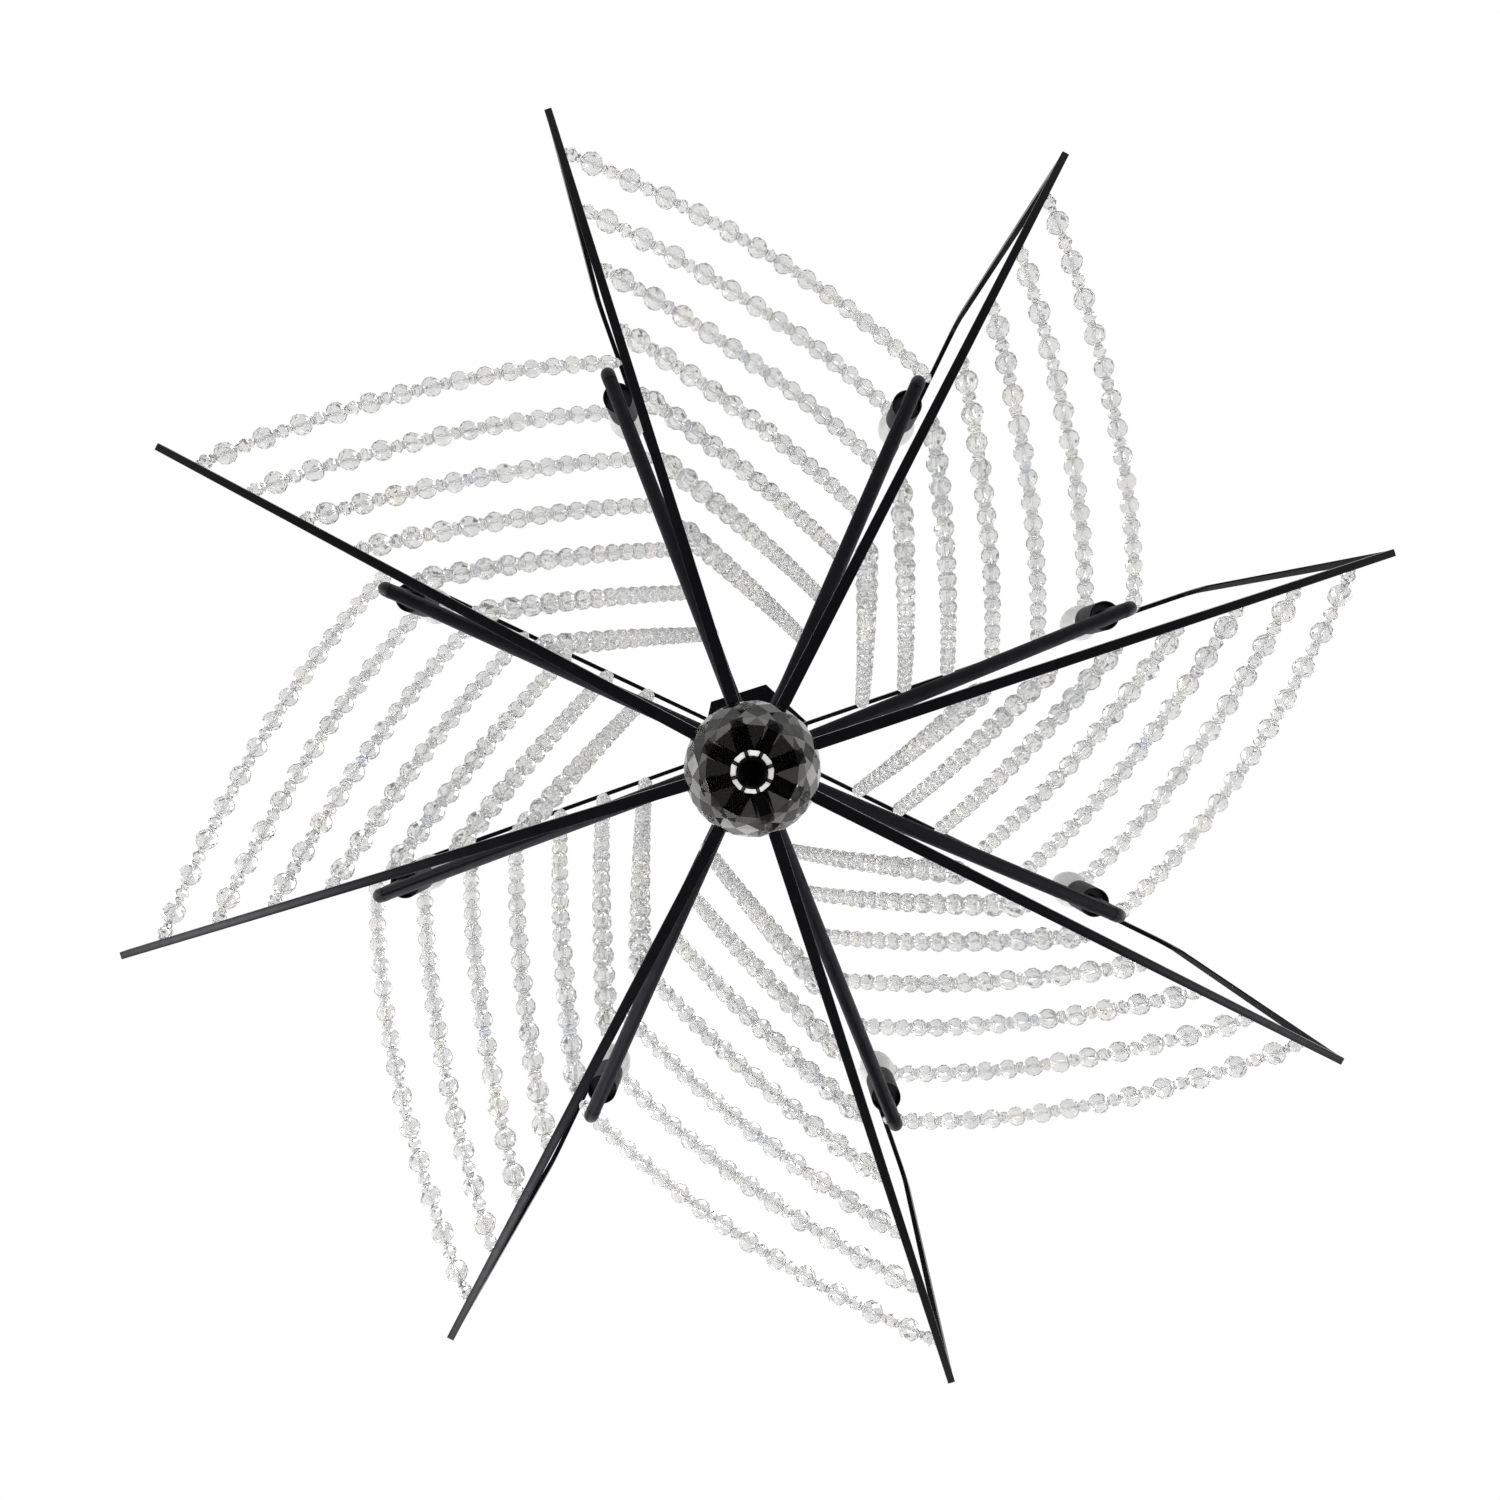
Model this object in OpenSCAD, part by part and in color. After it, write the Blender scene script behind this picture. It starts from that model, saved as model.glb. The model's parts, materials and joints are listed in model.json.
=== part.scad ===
// Eight-light crystal chandelier, in millimetres.
// The origin is on the ceiling, on the axis, and everything hangs below it.

/* [Frame] */
// Radius from the axis to the outer tips of the blades
tip_r = 525; // [480:5:570]
// Rise of the lower bars from the axis to the tips
tip_rise = 175; // [150:5:200]
// How far the shoulders, where the uprights bend into roof bars, lie inside the tips
shoulder_in = 10; // [0:1:30]
// Height of the uprights, from tip to shoulder
upright_h = 345; // [300:5:400]
// Rise of the roof bars from the shoulder to the axis
roof_rise = 188; // [160:4:220]
// Turn of the roof against the lower bars, in degrees
lean = 1.7; // [0:0.1:2.5]

/* [Bars] */
// Thickness of a lower bar at the hub
lower_t_hub = 8; // [7:0.2:9]
// Thickness of a lower bar at the tip
lower_t_tip = 5.8; // [5:0.2:7]
// Depth of a lower bar
lower_d = 12; // [9:0.5:15]
// Thickness of the uprights and roof bars
upper_t = 4.8; // [4:0.2:6]
// Depth of the uprights and roof bars
upper_d = 10; // [8:0.5:12]
// Centre-line radius of the shoulder bend
shoulder_bend = 30; // [15:1:45]

/* [Strands] */
// Strands hung between two neighbouring blades
strand_count = 7; // [5:1:7]
// Radius of the innermost strand on the lower bar
low_first = 170; // [150:2:180]
// Distance from the outermost strand to the tip of the lower bar
low_last = 31; // [25:1:45]
// Radius of the innermost strand on the roof bar
roof_first = 140; // [130:2:160]
// Distance from the outermost strand to the shoulder of the roof bar
roof_last = 66; // [56:1:90]
// Catenary constant that all strands share
drape = 400; // [300:10:600]
// Diameter of the large beads
big_d = 18; // [16:0.5:20]
// Diameter of the small beads
small_d = 11.5; // [10:0.5:13]
// Diameter of the end beads
end_d = 6; // [5:0.5:8]
// Diameter of the spacer collars beside each small bead
spacer_d = 5; // [4:0.5:6]
// Usual length of a spacer collar
spacer_h = 1.75; // [1.25:0.25:3]

/* [Lamps] */
// Radius of the lamp posts from the axis
post_r = 344; // [320:2:360]
// Turn of a lamp post from its blade, in degrees
post_turn = 3.4; // [2:0.1:5]
// Height of the arm axis where it leaves the arm hub, above the lower bars' meeting point
arm_start = 115; // [105:1:130]
// Slope of an arm, in degrees
arm_slope = 22; // [18:0.5:24]
// Outside diameter of the arm tube
arm_d = 12; // [10:0.5:13]
// Bore of the arm tube
arm_bore = 8.5; // [6:0.25:9]
// Centre-line radius of the elbow under a post
elbow_r = 16; // [14:1:20]
// How much wider the elbow fitting is than the tube, inside and outside
elbow_grow = 0.5; // [0.4:0.1:1]
// Diameter of the lamp wire in each arm
wire_d = 5; // [3:0.25:5.5]
// Bottom edge of the candle sleeves above the lower bars' meeting point
sleeve_z = 314; // [300:1:325]
// Outside diameter of a candle sleeve
sleeve_d = 27; // [26:0.5:30]
// Height of a candle sleeve
sleeve_h = 47; // [44:1:54]
// Wall of a candle sleeve
sleeve_wall = 1.2; // [1:0.1:1.5]
// Height of a lampholder
holder_h = 34; // [31:1:36]
// Bore of a lampholder
holder_bore = 14.6; // [14.4:0.1:15]
// Diameter of a bulb's screw base
base_d = 14; // [13.6:0.1:14]
// Length of a bulb's screw base
base_h = 25; // [20:1:27]
// Largest diameter of a bulb
bulb_d = 35; // [30:1:38]
// Height of a bulb's glass above the sleeve
bulb_h = 76; // [66:1:86]

/* [Hubs] */
// Distance from the axis to the flats of the lower hub, which carries the lower bars
boss_flat = 20; // [18:0.5:26]
// Lower hub below the lower bars' meeting point
boss_below = 10; // [6:0.5:14]
// Lower hub above the lower bars' meeting point
boss_above = 18; // [16:1:26]
// Distance from the axis to the flats of the arm hub
hub_flat = 34; // [32:0.5:38]
// Arm hub below the arm axes
hub_below = 20; // [18:1:24]
// Arm hub above the arm axes
hub_above = 18; // [16:1:24]
// Wall of the arm hub
hub_wall = 6; // [4:0.5:8]
// Thickness of the plate that closes the arm hub
cover_t = 4; // [3:0.5:6]
// Thread diameter of the stem where it goes through that plate
spigot_d = 10; // [8:0.5:12]
// Distance from the axis to the flats of the roof hub
roof_hub_flat = 30; // [28:0.5:34]
// Height of the roof hub
roof_hub_h = 24; // [22:1:30]
// Outside diameter of the centre column
column_d = 16; // [14:0.5:20]
// Bore of the centre column
column_bore = 12; // [10:0.5:12]
// Diameter of the supply cable in the column
riser_d = 8; // [6:0.5:9]

/* [Ball] */
// Diameter of the crystal ball
ball_d = 80; // [70:1:90]
// Facets round the ball
ball_sides = 16; // [12:1:20]
// Rows of vertices from the equator to where the long facets begin
ball_rows = 5; // [3:1:6]
// Angle from the pole to the inner end of the long facets, in degrees
ball_ring_angle = 17.5; // [16:0.5:20]
// Angle from the pole to the edge of the flat seat, in degrees
ball_flat_angle = 13; // [11:0.5:14]
// Diameter of the rod through the ball
rod_d = 6; // [5:0.5:7]
// Length of the rod's thread in the lower hub
rod_seat = 14; // [10:1:18]
// Diameter of the cap on the ball
cap_d = 34; // [28:1:40]
// Thickness of the cap on the axis
cap_t = 4; // [3:0.5:6]
// Diameter of the finial
finial_d = 17.5; // [15:0.5:20]

/* [Hanging] */
// Wire diameter of the loops and the link
loop_wire = 4; // [3.5:0.25:4.5]
// Centre-line radius of the loops
loop_r = 8.5; // [8:0.25:9]
// Distance between the link's end centres
link_span = 18; // [17:0.5:22]
// Centre-line radius of the link's ends
link_r = 6; // [5.5:0.25:6.5]
// Diameter of the neck under the lower loop
neck_d = 12; // [10:0.5:14]
// Length of the neck under the lower loop
neck_h = 10; // [8:0.5:14]

/* [Canopy] */
// Distance from the axis to the flats of the six-sided canopy
canopy_flat = 66.5; // [62:0.5:72]
// Height of the canopy
canopy_h = 32; // [29:1:38]
// Wall of the canopy
canopy_wall = 2; // [1.5:0.25:3]
// Diameter of the threaded shank that the canopy slides on
shank_d = 26; // [25:0.5:27]
// Length of the shank
shank_h = 22; // [20:1:26]
// Outside diameter of the collar ring
collar_d = 40; // [36:1:46]
// Height of the collar ring
collar_h = 7; // [5:0.5:9]
// Length of the crossbar
crossbar_l = 106; // [100:1:110]
// Width of the crossbar
crossbar_w = 20; // [18:1:24]
// Thickness of the crossbar
crossbar_t = 3; // [2:0.5:3.5]
// Distance between the crossbar's screw holes
screw_span = 88.9; // [85:0.1:92]
// Diameter of the crossbar's screw holes
screw_hole = 4.8; // [4.4:0.1:5.2]
// Diameter of the threaded nipple
nipple_d = 9.5; // [9:0.1:10]
// Bore of the nipple
nipple_bore = 6; // [5:0.25:7]
// Height of the lock nut under the crossbar
nut_h = 5; // [4:0.5:7]

/* [Hidden] */
$fn = 48;
blades = 8;
sector = 360 / blades;
seat = 0.1;        // gap between pieces that rest on each other
slip = 0.3;        // radial gap of a piece round or inside another
past = 1;          // how far a cut runs past the face it opens
lap = 0.4;         // how far a straight runs into a bend
hair = 0.02;       // how much thicker a bend is than its straights
far = 4 * tip_r;   // larger than the whole object

// Heights, from the ceiling down
shank_top = -(canopy_h + collar_h + 5 - shank_h);
shank_end = shank_top - shank_h;
upper_loop_z = shank_end - loop_r + loop_wire / 2;
link_top_z = upper_loop_z - loop_r + loop_wire + slip;
link_end_z = link_top_z - link_span;
lower_loop_z = link_end_z + loop_wire + slip - loop_r;
roof_z = lower_loop_z - loop_r - neck_h + loop_wire / 2;
hub_z = roof_z - roof_rise - upright_h - tip_rise;
arm_z = hub_z + arm_start;
cover_z = arm_z - hub_below - cover_t;
boss_z = hub_z - boss_below;
ball_z = boss_z - cap_t - ball_d / 2;

// Radius of the shoulders, and steps from strand to strand
shoulder_r = tip_r - shoulder_in;
low_step = (tip_r - low_last - low_first) / (strand_count - 1);
roof_step = (shoulder_r - roof_last - roof_first) / (strand_count - 1);
bead_pitch = big_d + small_d + 2 * spacer_h;

// Slopes of the bars, in degrees
lower_slope = atan2(tip_rise, tip_r);
roof_slope = atan2(roof_rise, shoulder_r);

black = [0.05, 0.05, 0.055];
steel = [0.72, 0.73, 0.75];
crystal = [0.86, 0.9, 0.93];
frosted = [0.97, 0.96, 0.94];

function sinh(x) = (exp(x) - exp(-x)) / 2;
function cosh(x) = (exp(x) + exp(-x)) / 2;
function tanh(x) = sinh(x) / cosh(x);
function asinh(x) = ln(x + sqrt(x * x + 1));
function atanh(x) = ln((1 + x) / (1 - x)) / 2;
function unit(v) = v / norm(v);
function turn(p, a) = [p.x * cos(a) - p.y * sin(a), p.x * sin(a) + p.y * cos(a), p.z];

// Height of a lower bar's and a roof bar's centre line at a radius
function lower_line(r) = hub_z + r * tan(lower_slope);
function roof_line(r) = roof_z - r * tan(roof_slope);

// An octagonal prism with a flat towards +X
module octagon(flat, h) {
    rotate([0, 0, sector / 2])
        cylinder(r = flat / cos(sector / 2), h = h, $fn = blades);
}

// Everything on the axis side of a vertical plane square to +X
module inside_of(x) {
    translate([x - far, -far / 2, -far / 2]) cube(far);
}

// A solid ring of round wire in the XZ plane
module wire_ring(r) {
    rotate([90, 0, 0]) rotate_extrude() translate([r, 0]) circle(d = loop_wire);
}

// Ceiling fixing

module crossbar() {
    color(steel) difference() {
        translate([-crossbar_l / 2, -crossbar_w / 2, -crossbar_t])
            cube([crossbar_l, crossbar_w, crossbar_t]);
        for (side = [-1, 1])
            translate([side * screw_span / 2, 0, -crossbar_t - past])
                cylinder(d = screw_hole, h = crossbar_t + 2 * past);
        translate([0, 0, -crossbar_t - past])
            cylinder(d = nipple_d + 2 * slip, h = crossbar_t + 2 * past);
    }
}

// The threaded tube from the crossbar into the loop's shank
module nipple() {
    color(steel) translate([0, 0, shank_top - nipple_seat()]) difference() {
        cylinder(d = nipple_d, h = -shank_top + nipple_seat());
        translate([0, 0, -past])
            cylinder(d = nipple_bore, h = -shank_top + nipple_seat() + 2 * past);
    }
}

// How far the nipple is screwed into the shank
function nipple_seat() = shank_h / 2;

module lock_nut() {
    color(steel) translate([0, 0, -crossbar_t - nut_h - seat]) difference() {
        cylinder(d = 2 * nipple_d, h = nut_h, $fn = 6);
        translate([0, 0, -past]) cylinder(d = nipple_d + 2 * slip, h = nut_h + 2 * past);
    }
}

// The shank that carries the canopy, with the upper loop under it
module canopy_loop() {
    color(black) union() {
        difference() {
            translate([0, 0, shank_end]) cylinder(d = shank_d, h = shank_h);
            translate([0, 0, shank_top - nipple_seat() - seat])
                cylinder(d = nipple_d + 2 * slip, h = nipple_seat() + seat + past);
        }
        translate([0, 0, upper_loop_z]) wire_ring(loop_r);
    }
}

// The six-sided cup against the ceiling
module canopy() {
    inner = (canopy_flat - canopy_wall) / cos(30);
    color(black) translate([0, 0, -canopy_h]) difference() {
        cylinder(r = canopy_flat / cos(30), h = canopy_h, $fn = 6);
        translate([0, 0, canopy_wall]) cylinder(r = inner, h = canopy_h, $fn = 6);
        translate([0, 0, -past]) cylinder(d = shank_d + 2 * slip, h = canopy_wall + 2 * past);
    }
}

// The ring nut that holds the canopy up
module collar_ring() {
    edge = collar_h / 3;
    bore = shank_d / 2 + slip;
    color(black) translate([0, 0, -canopy_h - seat - collar_h]) rotate_extrude()
        polygon([
            [bore, 0], [collar_d / 2 - edge, 0], [collar_d / 2, edge],
            [collar_d / 2, collar_h], [bore, collar_h]
        ]);
}

// Hanging gear

// One oval link in the YZ plane between the two loops
module chain_link() {
    color(black) translate([0, 0, link_top_z]) rotate([90, 0, 90]) {
        for (side = [0, 1]) translate([0, -side * (link_span - 2 * link_r) - link_r]) mirror([0, side])
            rotate_extrude(angle = 180) translate([link_r, 0]) circle(d = loop_wire);
        for (side = [-1, 1]) translate([side * link_r, -link_span + link_r, 0]) rotate([-90, 0, 0])
            cylinder(d = loop_wire, h = link_span - 2 * link_r);
    }
}

// The loop on top of the roof hub
module fixture_loop() {
    color(black) union() {
        translate([0, 0, roof_z]) cylinder(d = neck_d, h = neck_h);
        translate([0, 0, lower_loop_z]) wire_ring(loop_r);
    }
}

// Hubs and column

module roof_hub() {
    color(black) rotate([0, 0, -lean]) translate([0, 0, roof_z - roof_hub_h])
        difference() {
            octagon(roof_hub_flat, roof_hub_h);
            translate([0, 0, -past]) cylinder(d = column_bore, h = roof_hub_h / 2 + past);
        }
}

// The tube from the roof hub down to the arm hub
module column() {
    low = arm_z + hub_above;
    high = roof_z - roof_hub_h;
    color(black) translate([0, 0, low]) difference() {
        cylinder(d = column_d, h = high - low);
        translate([0, 0, -past]) cylinder(d = column_bore, h = high - low + 2 * past);
    }
}

// The octagonal wiring box that carries the arms
module arm_hub() {
    color(black) difference() {
        translate([0, 0, arm_z - hub_below]) octagon(hub_flat, hub_below + hub_above);
        translate([0, 0, arm_z - hub_below - past])
            cylinder(r = hub_flat - hub_wall, h = hub_below + hub_above - hub_wall + past);
        translate([0, 0, arm_z]) cylinder(d = column_bore, h = hub_above + past);
        for (k = [0 : blades - 1]) rotate([0, 0, k * sector]) arm_axis()
            translate([0, 0, -2 * hub_wall]) cylinder(d = arm_bore, h = 3 * hub_wall);
    }
}

module hub_cover() {
    color(black) translate([0, 0, cover_z]) difference() {
        octagon(hub_flat, cover_t);
        translate([0, 0, -past]) cylinder(d = spigot_d + 2 * slip, h = cover_t + 2 * past);
    }
}

// The octagonal boss that carries the lower bars, on a stem with a threaded spigot and its nut
module lower_hub() {
    nut = cover_z + cover_t + seat;
    color(black) difference() {
        union() {
            translate([0, 0, boss_z]) octagon(boss_flat, boss_below + boss_above);
            translate([0, 0, boss_z]) cylinder(d = column_d, h = cover_z - seat - boss_z);
            translate([0, 0, boss_z]) cylinder(d = spigot_d, h = nut + spigot_d - boss_z);
            translate([0, 0, nut]) cylinder(d = 2 * spigot_d, h = 0.8 * spigot_d, $fn = 6);
        }
        translate([0, 0, boss_z - past]) cylinder(d = rod_d + 2 * slip, h = rod_seat + seat + past);
    }
}

// Ball

// The turned cap between the lower hub and the ball
module ball_cap() {
    color(black) difference() {
        translate([0, 0, ball_z]) cylinder(d = cap_d, h = boss_z - ball_z);
        translate([0, 0, ball_z]) sphere(d = ball_d + 2 * seat, $fn = 96);
        translate([0, 0, ball_z]) cylinder(d = rod_d + 2 * slip, h = boss_z - ball_z + past);
    }
}

// The rod from the lower hub, through the ball, into the finial
module ball_rod() {
    low = ball_z - ball_d / 2 - finial_d / 2;
    color(steel) translate([0, 0, low]) cylinder(d = rod_d, h = boss_z + rod_seat - low);
}

// Latitudes of the ball's rings of vertices, and which rings are turned half a facet.
// These latitudes make each pair of triangles round an edge one flat diamond.
ball_rings = let (half = 180 / ball_sides, step = atanh(sin(half))) [
    [90 - ball_flat_angle, ball_rows % 2],
    [90 - ball_ring_angle, ball_rows % 2],
    for (j = [ball_rows : -1 : -ball_rows]) [asin(tanh(j * step)), abs(j) % 2],
    [ball_ring_angle - 90, ball_rows % 2],
    [ball_flat_angle - 90, ball_rows % 2]
];

// The points of one ring
function ball_points(ring) = [
    for (i = [0 : ball_sides - 1]) let (around = 360 * (i + ring[1] / 2) / ball_sides)
        ball_d / 2 * [cos(ring[0]) * cos(around), cos(ring[0]) * sin(around), sin(ring[0])]
];

// The faces between one ring and the next
function ball_band(row) = let (
        n = ball_sides, turned = ball_rings[row][1], level = turned == ball_rings[row + 1][1]
    ) [for (i = [0 : n - 1]) let (
            a = row * n + i, b = row * n + (i + 1) % n,
            c = (row + 1) * n + (i + (level || turned == 1 ? 1 : 0)) % n,
            d = (row + 1) * n + (i + (level || turned == 1 ? 0 : n - 1)) % n
        ) each [[a, b, c], [a, c, d]]];

// The cut ball: rows of diamonds, then long facets and a small ring of facets at each pole
module crystal_ball() {
    n = ball_sides;
    last = len(ball_rings) - 1;
    color(crystal) translate([0, 0, ball_z]) difference() {
        polyhedron(
            [for (ring = ball_rings) each ball_points(ring)],
            [
                [for (i = [n - 1 : -1 : 0]) i],
                for (row = [0 : last - 1]) each ball_band(row),
                [for (i = [0 : n - 1]) last * n + i]
            ]
        );
        translate([0, 0, -ball_d]) cylinder(d = rod_d + 2 * slip, h = 2 * ball_d);
    }
}

// The round knob under the ball, on the end of the rod
module finial() {
    flat = ball_d / 2 * cos(ball_flat_angle);
    neck = 2;
    color(black) translate([0, 0, ball_z - flat - seat - neck - finial_d / 2]) difference() {
        union() {
            sphere(d = finial_d);
            cylinder(d = 0.7 * finial_d, h = finial_d / 2 + neck);
        }
        cylinder(d = rod_d + 2 * slip, h = finial_d);
    }
}

// Blades

// One flat bar from hub to tip, thinner towards the tip
module lower_bar(k) {
    run = tip_r / cos(lower_slope);
    color(black) rotate([0, 0, k * sector]) translate([0, 0, hub_z]) difference() {
        rotate([0, -lower_slope, 0]) linear_extrude(lower_d, center = true) polygon([
            [0, -lower_t_hub / 2], [run + lower_d, -lower_t_tip / 2],
            [run + lower_d, lower_t_tip / 2], [0, lower_t_hub / 2]
        ]);
        inside_of(boss_flat);
        translate([2 * tip_r, 0, 0]) rotate([0, 0, 180]) inside_of(tip_r);
    }
}

// The upright and roof bar: one bar bent at the shoulder, in a plane that leans with the roof
module upper_bar(k) {
    foot = [tip_r - upper_d / 2, 0, lower_line(tip_r)];
    shoulder = turn([shoulder_r, 0, roof_line(shoulder_r)], -lean);
    apex = [0, 0, roof_z];
    along = unit(apex - shoulder);
    down = foot - shoulder;
    normal = unit(cross(along, down));
    side = cross(normal, along);
    bend = acos(along * unit(down));
    reach = shoulder_bend / tan(bend / 2);
    frame = [for (i = [0 : 2]) [along[i], side[i], normal[i], shoulder[i]]];
    color(black) rotate([0, 0, k * sector]) difference() {
        multmatrix([each frame, [0, 0, 0, 1]]) union() {
            straight(reach - lap, norm(apex - shoulder));
            rotate([0, 0, bend]) straight(reach - lap, norm(down));
            translate([reach, shoulder_bend, 0]) rotate([0, 0, bend + 90])
                rotate_extrude(angle = 180 - bend) translate([shoulder_bend, 0])
                    square([upper_d + hair, upper_t + hair], center = true);
        }
        rotate([0, 0, -lean]) inside_of(roof_hub_flat);
        translate([0, 0, hub_z]) rotate([0, -lower_slope, 0])
            translate([0, -far / 2, lower_d / 2 - far]) cube(far);
    }
}

// A straight length of upper bar along +X
module straight(from, to) {
    translate([from, -upper_d / 2, -upper_t / 2]) cube([to - from, upper_d, upper_t]);
}

// Lamps

// Where an arm leaves its hub flat, and where its post stands, seen from above
arm_from = [hub_flat, 0];
post_at = post_r * [cos(post_turn), -sin(post_turn)];
arm_run = norm(post_at - arm_from);
arm_turn = atan2(post_at.y - arm_from.y, post_at.x - arm_from.x);
elbow_reach = elbow_r * tan((90 - arm_slope) / 2);
elbow_z = arm_start + arm_run * tan(arm_slope);
holder_z = sleeve_z + sleeve_h - sleeve_wall - holder_h;

// A child along +Z is set on an arm's axis, with its origin on the hub flat
module arm_axis() {
    translate([arm_from.x, arm_from.y, arm_z]) rotate([0, 90 - arm_slope, arm_turn]) children();
}

// A child on a post's axis, with its origin level with the lower bars' meeting point
module on_post(k) {
    rotate([0, 0, k * sector]) translate([post_at.x, post_at.y, hub_z]) children();
}

// A round bar along an arm: up the slope, round the elbow, which is wider by grow, and up the post
module arm_route(d, before, top, grow) {
    arm_axis() translate([0, 0, -before])
        cylinder(d = d, h = before + arm_run / cos(arm_slope) - elbow_reach + lap);
    on_post(0) translate([0, 0, elbow_z + elbow_reach]) {
        translate([0, 0, -lap]) cylinder(d = d, h = top - elbow_z - elbow_reach + lap);
        rotate([-90, 0, arm_turn]) translate([-elbow_r, 0, 0])
            rotate_extrude(angle = 90 - arm_slope) translate([elbow_r, 0]) circle(d = d + grow);
    }
}

module lamp_arm(k) {
    color(black) rotate([0, 0, k * sector]) difference() {
        arm_route(arm_d, arm_d, holder_z - seat, elbow_grow);
        arm_route(arm_bore, arm_d + past, holder_z + past, elbow_grow);
        inside_of(hub_flat);
    }
}

// The supply cable in the column, and a lamp wire in each arm from the arm hub to its lampholder
module wiring() {
    low = arm_z + hub_above - hub_wall;
    high = roof_z - roof_hub_h / 2 - seat;
    color(frosted) {
        translate([0, 0, low]) cylinder(d = riser_d, h = high - low);
        for (k = [0 : blades - 1]) rotate([0, 0, k * sector])
            arm_route(wire_d, 2 * hub_wall, holder_z - seat, hair);
    }
}

// Round holders with a threaded bore for the bulbs
module lampholders() {
    color(black) for (k = [0 : blades - 1]) on_post(k) translate([0, 0, holder_z]) difference() {
        cylinder(d = sleeve_d - 2 * sleeve_wall - 2 * slip, h = holder_h);
        translate([0, 0, holder_h - base_h - slip])
            cylinder(d = holder_bore, h = base_h + slip + past);
    }
}

// Open-bottomed sleeves that hang on the holders by a lip
module candle_sleeves() {
    inner = sleeve_d / 2 - sleeve_wall;
    lip = holder_bore / 2 + sleeve_wall;
    color(black) for (k = [0 : blades - 1]) on_post(k) translate([0, 0, sleeve_z]) rotate_extrude()
        polygon([
            [inner, 0], [sleeve_d / 2, 0], [sleeve_d / 2, sleeve_h], [lip, sleeve_h],
            [lip, sleeve_h - sleeve_wall + seat], [inner, sleeve_h - sleeve_wall + seat]
        ]);
}

// Glass radius at a height above the sleeve: it swells from the neck, then narrows to the tip
function bulb_radius(h) = let (
        neck = base_d / 2, widest = 0.38 * bulb_h, up = (h - widest) / (bulb_h - widest)
    ) h < widest
        ? neck + (bulb_d / 2 - neck) * sin(90 * h / widest)
        : bulb_d / 2 * pow(cos(90 * up), 0.8);

// A candle bulb: screw base and glass
module bulb(k) {
    steps = 20;
    color(frosted) on_post(k) translate([0, 0, sleeve_z + sleeve_h]) rotate_extrude() polygon([
        [0, -base_h - sleeve_wall], [base_d / 2, -base_h - sleeve_wall],
        for (i = [0 : steps - 1]) [bulb_radius(bulb_h * i / steps), bulb_h * i / steps],
        [0, bulb_h]
    ]);
}

// Bead strands

// A strand hangs from the end bead on a lower bar to the end bead under the next roof bar
function strand_low(i) = let (r = low_first + i * low_step)
    [r, 0, lower_line(r) + lower_d / 2 / cos(lower_slope) + end_d / 2 / cos(lower_slope) + seat];
function strand_high(i) = let (r = roof_first + i * roof_step)
    turn([r, 0, roof_line(r) - (upper_d + end_d) / 2 / cos(roof_slope) - seat], sector - lean);

// The catenary between two points: [start, way across, span, first parameter, length]
function catenary(a, b) = let (
        across = [b.x - a.x, b.y - a.y], span = norm(across),
        half = span / 2 / drape,
        middle = asinh((b.z - a.z) / (2 * drape * sinh(half))),
        first = middle - half
    ) [a, across / span, first, drape * (sinh(first + 2 * half) - sinh(first))];
function strand_length(c) = c[3];

// Place and direction on a catenary at a distance along it
function on_catenary(c, s) = let (
        u = asinh(sinh(c[2]) + s / drape), out = drape * (u - c[2])
    ) [
        c[0] + [c[1].x * out, c[1].y * out, drape * (cosh(u) - cosh(c[2]))],
        [c[1].x / cosh(u), c[1].y / cosh(u), tanh(u)]
    ];

// A child along +Z is set on a catenary
module at_bead(c, s) {
    place = on_catenary(c, s);
    way = place[1];
    translate(place[0]) rotate([0, acos(way.z), atan2(way.y, way.x)]) children();
}

// Seven strands of one sector: large beads, and small beads with a spacer collar at each end
module bead_strands(k) {
    first = (end_d + small_d) / 2 + seat;
    color(crystal) rotate([0, 0, k * sector]) for (i = [0 : strand_count - 1]) {
        c = catenary(strand_low(i), strand_high(i));
        run = strand_length(c) - 2 * first;
        count = round(run / bead_pitch);
        pitch = run / count;
        collar = (pitch - big_d) / 2 - seat;
        for (s = [0, strand_length(c)]) at_bead(c, s) sphere(d = end_d);
        for (j = [0 : count - 1]) at_bead(c, first + (j + 0.5) * pitch) sphere(d = big_d);
        for (j = [0 : count]) at_bead(c, first + j * pitch) union() {
            sphere(d = small_d);
            translate([0, 0, j == 0 ? 0 : -collar])
                cylinder(d = spacer_d, h = j == 0 || j == count ? collar : 2 * collar);
        }
    }
}

crossbar();
nipple();
lock_nut();
canopy_loop();
canopy();
collar_ring();
chain_link();
fixture_loop();
roof_hub();
column();
arm_hub();
hub_cover();
lower_hub();
ball_cap();
ball_rod();
crystal_ball();
finial();
wiring();
lampholders();
candle_sleeves();
for (k = [1 : blades]) {
    lower_bar(k - 1);
    upper_bar(k - 1);
    lamp_arm(k - 1);
    bulb(k - 1);
    bead_strands(k - 1);
}
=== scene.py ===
"""Looks of an eight-light crystal bead chandelier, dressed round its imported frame.

Lengths are in metres and the origin is on the ceiling, on the chandelier's axis.
"""

from __future__ import annotations

import json
import logging
import math
import random
from dataclasses import dataclass, field
from enum import IntEnum
from typing import Protocol

import bmesh
import bpy
from bmesh.types import BMFace, BMVert, BMesh
from bpy.types import ID, Material, Mesh, Node, NodeSocket, NodeTree, Object
from mathutils import Euler, Matrix, Vector

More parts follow.
